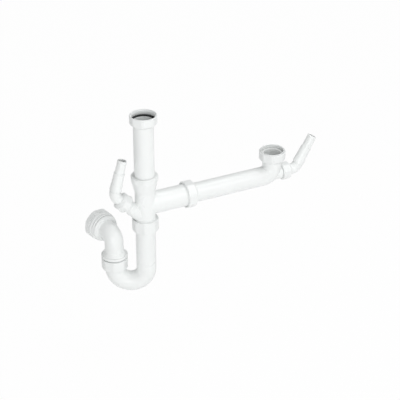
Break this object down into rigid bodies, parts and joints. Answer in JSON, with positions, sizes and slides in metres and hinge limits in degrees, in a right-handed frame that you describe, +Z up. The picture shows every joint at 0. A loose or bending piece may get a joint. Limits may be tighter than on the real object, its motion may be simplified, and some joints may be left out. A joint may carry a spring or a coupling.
{
  "type": "double bowl sink trap",
  "caption": "White plastic waste trap for a sink with two bowls: tailpiece, tee, arm to the second bowl, U-bend water seal, swivel outlet and bent hose nozzles.",
  "frame": {"origin": "centre of the main inlet's seat, on the top face of its washer, where the bowl's waste lands", "axes": "+Z up along the main inlet, +X along the arm to the second bowl, +Y back to the wall"},
  "size_m": [0.482, 0.1207, 0.3897],
  "materials": {
    "white_plastic": "smooth moulded white polypropylene",
    "nut_plastic": "smooth moulded white polypropylene with soft edges",
    "black_rubber": "matt black rubber",
    "pale_rubber": "matt pale grey rubber",
    "ring_plastic": "satin pale polyethylene"
  },
  "bodies": {
    "tee": {"tee_body": "white_plastic", "tailpiece_seal": "pale_rubber", "branch_seal": "black_rubber"},
    "tailpiece": {"tailpiece_tube": "white_plastic", "main_inlet_washer": "black_rubber"},
    "main_nut": {"main_inlet_nut": "nut_plastic"},
    "branch_ring": {"branch_slip_ring": "ring_plastic"},
    "branch_nut": {"branch_nut": "nut_plastic"},
    "arm": {"bowl_arm": "white_plastic", "second_inlet_washer": "pale_rubber"},
    "second_nut": {"second_inlet_nut": "nut_plastic"},
    "trap_washer": {"trap_inlet_washer": "pale_rubber"},
    "trap_inlet_nut": {"trap_inlet_nut": "nut_plastic"},
    "trap": {"u_bend": "white_plastic"},
    "outlet_washer": {"trap_outlet_washer": "pale_rubber"},
    "trap_outlet_nut": {"trap_outlet_nut": "nut_plastic"},
    "outlet": {"outlet_elbow": "white_plastic", "outlet_seal": "black_rubber"},
    "outlet_ring": {"outlet_slip_ring": "ring_plastic"},
    "outlet_nut": {"outlet_nut": "nut_plastic"},
    "tee_nozzle_washer": {"tee_nozzle_washer": "pale_rubber"},
    "tee_nozzle_nut": {"tee_nozzle_nut": "nut_plastic"},
    "tee_nozzle": {"tee_nozzle": "white_plastic"},
    "arm_nozzle_washer": {"arm_nozzle_washer": "pale_rubber"},
    "arm_nozzle_nut": {"arm_nozzle_nut": "nut_plastic"},
    "arm_nozzle": {"arm_nozzle": "white_plastic"}
  },
  "joints": [
    {"name": "tailpiece_pull", "type": "slide", "parent": "tee", "child": "tailpiece", "axis": [0, 0, 1], "range_m": [0, 0.01]},
    {"name": "main_nut_spin", "type": "hinge", "parent": "tailpiece", "child": "main_nut", "pos_m": [0, 0, 0], "axis": [0, 0, 1], "continuous": true},
    {"name": "branch_nut_travel", "type": "slide", "parent": "tee", "child": "branch_ring", "axis": [1, 0, 0], "range_m": [0, 0.007]},
    {"name": "branch_nut_turn", "type": "hinge", "parent": "branch_ring", "child": "branch_nut", "pos_m": [0.1, 0, -0.184], "axis": [1, 0, 0], "range_deg": [0, 1080]},
    {"name": "arm_slide", "type": "slide", "parent": "tee", "child": "arm", "axis": [1, 0, 0], "range_m": [-0.03, 0.02]},
    {"name": "second_nut_spin", "type": "hinge", "parent": "arm", "child": "second_nut", "pos_m": [0.2845, 0, -0.136], "axis": [0, 0, 1], "continuous": true},
    {"name": "trap_drop", "type": "slide", "parent": "tee", "child": "trap_washer", "axis": [0, 0, -1], "range_m": [0, 0.007]},
    {"name": "trap_inlet_nut_turn", "type": "hinge", "parent": "trap_washer", "child": "trap_inlet_nut", "pos_m": [0, 0, -0.23], "axis": [0, 0, -1], "range_deg": [0, 1080]},
    {"name": "trap_swivel", "type": "hinge", "parent": "trap_washer", "child": "trap", "pos_m": [0, 0, -0.23], "axis": [0, 0, 1], "range_deg": [-180, 180]},
    {"name": "outlet_lift", "type": "slide", "parent": "trap", "child": "outlet_washer", "axis": [0, 0, 1], "range_m": [0, 0.007]},
    {"name": "trap_outlet_nut_turn", "type": "hinge", "parent": "trap", "child": "trap_outlet_nut", "pos_m": [-0.05649, 0.02878, -0.314], "axis": [0, 0, -1], "range_deg": [0, 1080]},
    {"name": "outlet_swivel", "type": "hinge", "parent": "outlet_washer", "child": "outlet", "pos_m": [-0.05649, 0.02878, -0.314], "axis": [0, 0, 1], "range_deg": [-50, 150]},
    {"name": "outlet_nut_travel", "type": "slide", "parent": "outlet", "child": "outlet_ring", "axis": [-0.1908, 0.9816, 0], "range_m": [0, 0.007]},
    {"name": "outlet_nut_turn", "type": "hinge", "parent": "outlet_ring", "child": "outlet_nut", "pos_m": [-0.06603, 0.07786, -0.252], "axis": [-0.1908, 0.9816, 0], "range_deg": [0, 1080]},
    {"name": "tee_nozzle_pull", "type": "slide", "parent": "tee", "child": "tee_nozzle_washer", "axis": [-0.7071, 0, 0.7071], "range_m": [0, 0.0055]},
    {"name": "tee_nozzle_nut_turn", "type": "hinge", "parent": "tee_nozzle_washer", "child": "tee_nozzle_nut", "pos_m": [-0.04844, 0, -0.16656], "axis": [-0.7071, 0, 0.7071], "range_deg": [0, 1080]},
    {"name": "tee_nozzle_swivel", "type": "hinge", "parent": "tee_nozzle_washer", "child": "tee_nozzle", "pos_m": [-0.04844, 0, -0.16656], "axis": [-0.7071, 0, 0.7071], "continuous": true},
    {"name": "arm_nozzle_pull", "type": "slide", "parent": "arm", "child": "arm_nozzle_washer", "axis": [1, 0, 0], "range_m": [0, 0.0055]},
    {"name": "arm_nozzle_nut_turn", "type": "hinge", "parent": "arm_nozzle_washer", "child": "arm_nozzle_nut", "pos_m": [0.3163, 0, -0.1825], "axis": [1, 0, 0], "range_deg": [0, 1080]},
    {"name": "arm_nozzle_swivel", "type": "hinge", "parent": "arm_nozzle_washer", "child": "arm_nozzle", "pos_m": [0.3163, 0, -0.1825], "axis": [1, 0, 0], "continuous": true}
  ],
  "couplings": [
    {"joint": "branch_nut_travel", "follows": "branch_nut_turn", "m_per_rad": 0.00036749},
    {"joint": "trap_drop", "follows": "trap_inlet_nut_turn", "m_per_rad": 0.00036749},
    {"joint": "outlet_lift", "follows": "trap_outlet_nut_turn", "m_per_rad": 0.00036749},
    {"joint": "outlet_nut_travel", "follows": "outlet_nut_turn", "m_per_rad": 0.00036749},
    {"joint": "tee_nozzle_pull", "follows": "tee_nozzle_nut_turn", "m_per_rad": 0.00028871},
    {"joint": "arm_nozzle_pull", "follows": "arm_nozzle_nut_turn", "m_per_rad": 0.00028871}
  ]
}
